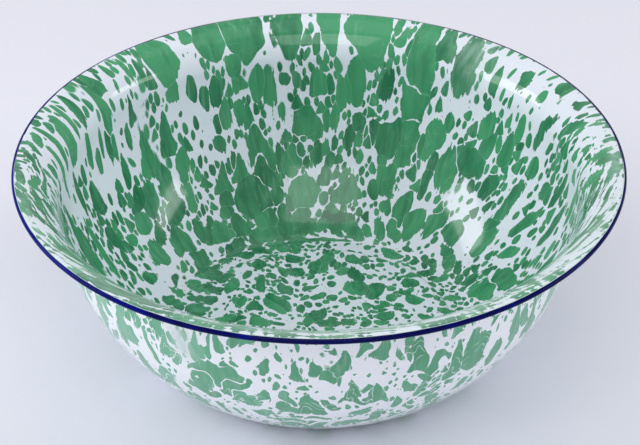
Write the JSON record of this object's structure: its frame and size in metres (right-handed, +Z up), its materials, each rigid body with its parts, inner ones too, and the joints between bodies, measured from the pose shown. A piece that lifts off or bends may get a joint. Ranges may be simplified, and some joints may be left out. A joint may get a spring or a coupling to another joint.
{
  "type": "enamel basin bowl",
  "caption": "Wide enamelled steel basin with a flared brim, a rolled rim banded in blue, and a flat base with a raised centre disc.",
  "frame": {"origin": "centre of the underside, on the plane that the basin stands on", "axes": "+Z up along the axis of revolution; X and Y are any two level directions, since the basin is round"},
  "size_m": [0.4199, 0.42, 0.148],
  "materials": {
    "sheet_steel": "bare low-carbon sheet, sealed inside the enamel",
    "ground_enamel": "dark fired ground coat, hidden under the cover coats",
    "inner_marbled_enamel": "glossy vitreous enamel, deep green marbled over white",
    "outer_marbled_enamel": "glossy vitreous enamel, paler green marbled over white",
    "blue_rim_enamel": "glossy cobalt blue enamel, hand-applied band"
  },
  "bodies": {
    "root": {"steel_pressing": "sheet_steel", "inner_ground_coat": "ground_enamel", "outer_ground_coat": "ground_enamel", "inner_cover_coat": "inner_marbled_enamel", "outer_cover_coat": "outer_marbled_enamel", "rim_coat": "blue_rim_enamel"}
  },
  "joints": []
}
